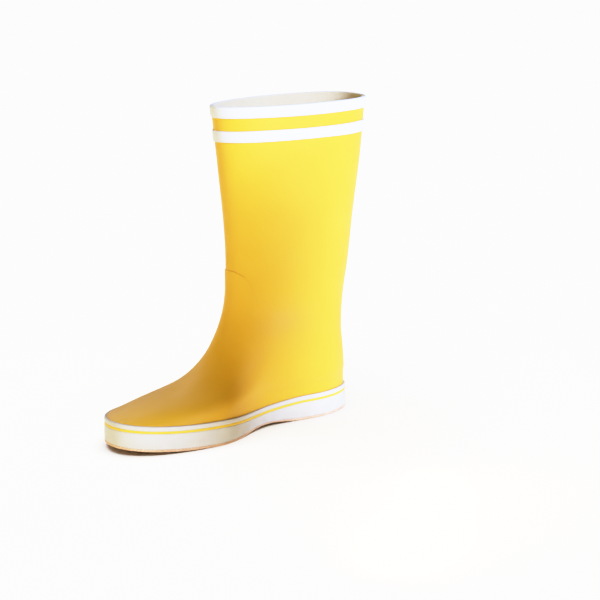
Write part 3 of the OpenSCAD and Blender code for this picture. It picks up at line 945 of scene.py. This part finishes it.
def add_light(floor, shade):
    """Three panels on the boot, and a soft light from above that is for the floor alone."""
    world = bpy.data.worlds.new("studio")
    world.use_nodes = True
    backdrop = world.node_tree.nodes["Background"]
    backdrop.inputs["Color"].default_value = (1, 1, 1, 1)
    backdrop.inputs["Strength"].default_value = 0.05
    bpy.context.scene.world = world

    only_floor = listed("lit_floor", [floor], "INCLUDE")
    not_floor = listed("lit_boot", [floor], "EXCLUDE")
    not_shade = listed("open_light", [shade], "EXCLUDE")
    overhead = lamp("floor_light", "SUN", UP, 1.85)
    overhead.data.angle = math.radians(70)
    overhead.light_linking.receiver_collection = only_floor
    overhead.light_linking.blocker_collection = not_shade
    key = panel("key_panel", 50, 27, 2.5, (1.3, 1.3), 1.8, (0.83, 1.02, 1.9))
    back = panel("back_panel", -145, 36, 2.0, (1.5, 1.5), 0.64, (1.0, 0.96, 0.88))
    left = panel("left_panel", -40, 10, 2.0, (0.9, 0.9), 0.42, (1.0, 0.82, 0.42))
    for light in (key, back, left):
        light.light_linking.receiver_collection = not_floor
    for light in (back, left):
        light.light_linking.blocker_collection = not_shade


# ---------------------------------------------------------------- the scene

def main():
    scene = bpy.context.scene
    scene.view_settings.view_transform = "Standard"
    scene.view_settings.gamma = 0.87
    soften_whites(scene.view_settings)
    add_camera()

    yellow = rubber("rubber_yellow", (0.76, 0.43, 0.02), (0.73, 0.40, 0.014), (0.88, 0.62, 0.2),
                    rough=0.55, spec=0.24, sheen=0.1)
    line_yellow = rubber("rubber_line", (0.86, 0.56, 0.03), (0.80, 0.48, 0.02), (0.90, 0.68, 0.22))
    white = rubber("rubber_white", (0.67, 0.665, 0.57), (0.63, 0.62, 0.53), (0.57, 0.55, 0.49))
    # The foxing's white: the same white rubber, painted darker and warmer as shade, with more painted
    # shade towards the floor
    white_painted_shade = rubber("rubber_white_painted_shade", (0.63, 0.605, 0.48), (0.59, 0.56, 0.43), (0.52, 0.48, 0.37),
                       floor_shade=((0.50, 0.41, 0.25), 0.003, 0.022))
    black = rubber("rubber_black", (0.022, 0.022, 0.024), (0.012, 0.012, 0.013), (0.10, 0.10, 0.10),
                   rough=0.42)
    tan = crepe("crepe_tan")
    cream = knit("knit_cream", (0.78, 0.64, 0.33), (0.66, 0.52, 0.26))

    finish_piece(make_leg(), yellow, "yellow_rubber", "leg")
    finish_piece(make_vamp(), yellow, "yellow_rubber", "vamp")
    finish_piece(make_back_strip(), yellow, "yellow_rubber", "back_strip")
    finish_piece(make_stripe(), white, "white_rubber", "collar_stripe")
    finish_piece(make_cuff(), white, "white_rubber", "collar_band")
    finish_piece(make_badge(), black, "badge_rubber", "badge")
    band, line, trim = make_foxing()
    finish_piece(band, white_painted_shade, "white_rubber", "foxing_band")
    finish_piece(line, line_yellow, "yellow_line", "foxing_line")
    finish_piece(trim, white_painted_shade, "white_rubber", "foxing_trim")
    finish_piece(make_outsole(), tan, "crepe_rubber", "outsole")
    finish_piece(make_foot_lining(), cream, "knit_lining", "foot_lining")
    finish_piece(make_leg_lining(), cream, "knit_lining", "leg_lining")
    pad = finish_piece(make_footbed(), footbed_cloth("cloth_footbed"), "footbed_cloth", "footbed",
                       body="footbed")

    grey = plain_inner("backing_grey", (0.30, 0.31, 0.33), (0.20, 0.21, 0.22), 700, 0.8, 0.0002)
    foam = plain_inner("filler_foam", (0.50, 0.36, 0.24), (0.36, 0.25, 0.16), 420, 0.85, 0.0004)
    board = plain_inner("fibre_board", (0.55, 0.42, 0.30), (0.40, 0.29, 0.20), 900, 0.85, 0.0002)
    steel = plain_inner("shank_steel", (0.55, 0.56, 0.58), (0.42, 0.43, 0.45), 500, 0.38, 0.00005, 1.0)
    kept = {
        "sole_filler": foam, "shank": steel, "heel_wedge": foam,
        "insole_board": board, "toe_stiffener": grey, "heel_counter": grey, "ankle_patches": grey,
    }
    for node, material in kept.items():
        for mesh_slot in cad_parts[node].material_slots:
            mesh_slot.material = material

    add_light(add_floor(), add_second_boot(yellow))


main()
